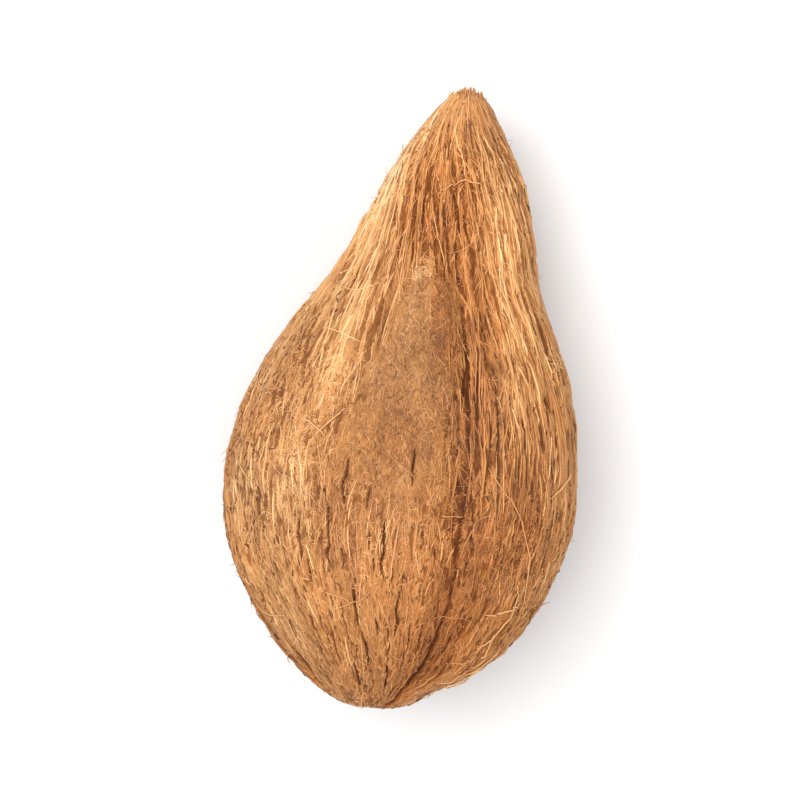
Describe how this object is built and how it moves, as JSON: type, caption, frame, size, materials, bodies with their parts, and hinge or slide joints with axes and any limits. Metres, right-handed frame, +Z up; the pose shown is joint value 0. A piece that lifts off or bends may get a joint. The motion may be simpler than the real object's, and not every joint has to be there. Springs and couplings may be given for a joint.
{
  "type": "half-husked coconut",
  "caption": "Pear-shaped half-husked coconut lying on its side, its coarse brown fibre parted by long grooves and drawn to a blunt tuft at the stem end.",
  "frame": {"origin": "middle of the flat spot that the fruit lies on", "axes": "+Y along the fruit towards its tuft, +Z up, away from the surface that it lies on"},
  "size_m": [0.1292, 0.2259, 0.1216],
  "materials": {
    "husk_fibre": "dry, matt, combed coir fibre, tan with darker brown grooves and a felted patch"
  },
  "bodies": {
    "root": {"coconut": "husk_fibre"}
  },
  "joints": []
}
